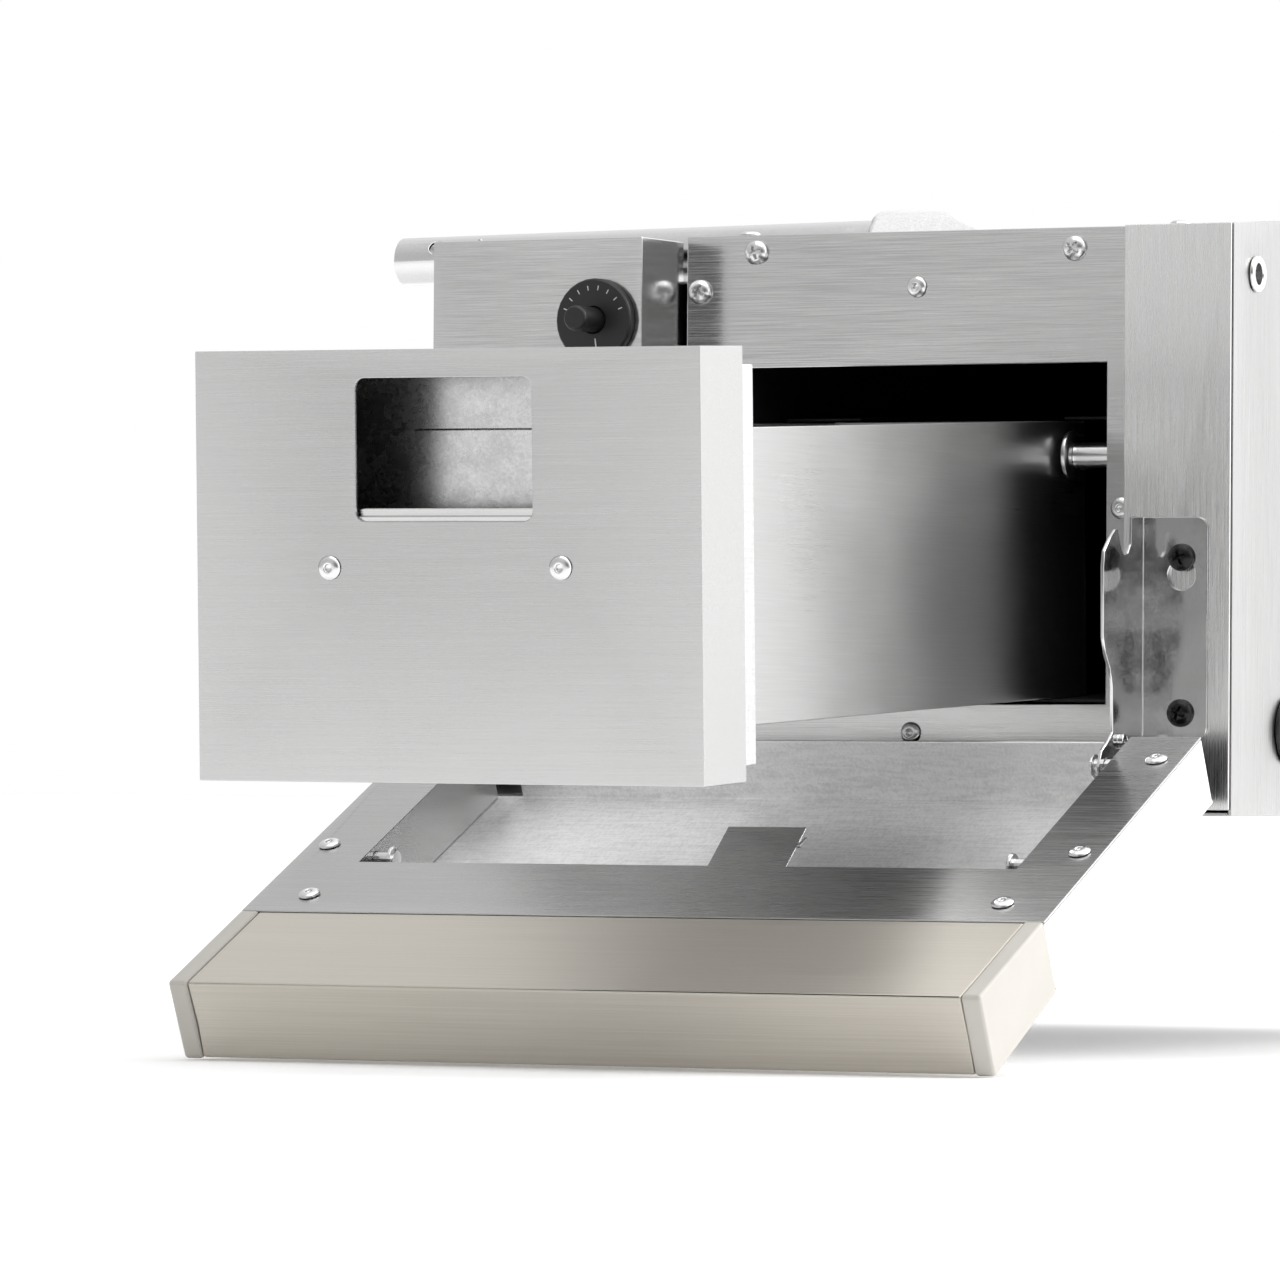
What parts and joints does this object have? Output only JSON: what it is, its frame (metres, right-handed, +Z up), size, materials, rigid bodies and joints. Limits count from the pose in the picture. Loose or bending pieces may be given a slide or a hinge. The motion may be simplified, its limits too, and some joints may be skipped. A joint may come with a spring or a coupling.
{
  "type": "built-in vacuum sealer drawer module",
  "caption": "Stainless built-in appliance module with its deep drawer pulled out, its handled door dropped open on hooked hinge brackets, and a push switch.",
  "frame": {"origin": "middle of the housing's underside, where it stands on the niche floor", "axes": "+X to the right seen from the front, +Y into the niche, +Z up; the drawer and door open towards -Y"},
  "size_m": [0.3845, 0.8218, 0.3252],
  "materials": {
    "brushed_steel": "fine straight-grained satin stainless steel",
    "door_steel": "bright satin stainless sheet, plain mill surface inside",
    "bright_steel": "bright plated fasteners",
    "bracket_steel": "smooth cold-rolled stainless plate",
    "tube_steel": "satin round tube",
    "cast_aluminium": "fine sand-cast, tumbled",
    "motor_casting": "painted casting",
    "champagne_aluminium": "champagne anodised, fine satin grain",
    "off_white_plastic": "fine spark-eroded texture",
    "black_plastic": "moulded black",
    "black_screw": "blackened steel",
    "black_liner": "matt black",
    "circuit_board": "solder mask"
  },
  "bodies": {
    "housing": {"back_panel": "brushed_steel", "bottom_pan": "brushed_steel", "bracket_screw_1": "black_screw", "bracket_screw_2": "black_screw", "bracket_screw_3": "black_screw", "bracket_screw_4": "black_screw", "control_board": "circuit_board", "control_box": "brushed_steel", "cross_tube": "tube_steel", "drawer_liner": "black_liner", "drawer_rail_left": "black_liner", "drawer_rail_right": "black_liner", "front_panel": "brushed_steel", "guide_pin_left": "bright_steel", "guide_pin_right": "bright_steel", "hinge_bracket_left": "bracket_steel", "hinge_bracket_right": "bracket_steel", "hinge_pin_left": "bright_steel", "hinge_pin_right": "bright_steel", "panel_rivet_1": "bright_steel", "panel_rivet_2": "bright_steel", "panel_rivet_3": "bright_steel", "panel_screw_1": "bright_steel", "panel_screw_2": "bright_steel", "panel_screw_3": "bright_steel", "pillar_right": "brushed_steel", "power_inlet": "black_plastic", "pump_motor": "motor_casting", "side_collar": "bright_steel", "side_panel_left": "brushed_steel", "side_panel_right": "brushed_steel", "side_plug": "black_plastic", "switch_body": "black_plastic", "top_deck": "brushed_steel", "top_rivet_1": "bright_steel", "top_rivet_2": "bright_steel", "tube_saddle": "cast_aluminium", "tube_socket": "cast_aluminium"},
    "door": {"door_frame": "brushed_steel", "door_rivet_1": "bright_steel", "door_rivet_2": "bright_steel", "door_rivet_3": "bright_steel", "door_rivet_4": "bright_steel", "door_rivet_5": "bright_steel", "door_rivet_6": "bright_steel", "door_tongue": "brushed_steel", "door_tray": "door_steel", "end_cap_left": "off_white_plastic", "end_cap_right": "off_white_plastic", "handle_profile": "champagne_aluminium", "latch_stud_left": "bright_steel", "latch_stud_right": "bright_steel"},
    "drawer": {"drawer_back": "brushed_steel", "drawer_bin": "brushed_steel", "drawer_front": "brushed_steel", "drawer_rivet_1": "bright_steel", "drawer_rivet_2": "bright_steel", "grip_lip": "brushed_steel"},
    "switch_button": {"switch_stem": "black_plastic"}
  },
  "joints": [
    {"name": "drawer_slide", "type": "slide", "parent": "housing", "child": "drawer", "axis": [0.0003, 0.9989, 0.0476], "range_m": [0, 0.344]},
    {"name": "door_hinge", "type": "hinge", "parent": "housing", "child": "door", "pos_m": [0, -0.265, 0.018], "axis": [-1, 0, 0], "range_deg": [0, 27]},
    {"name": "switch_press", "type": "slide", "parent": "housing", "child": "switch_button", "axis": [0, 1, 0], "range_m": [0, 0.003], "stiffness_N_per_m": 400, "springref_m": -0.0025}
  ]
}
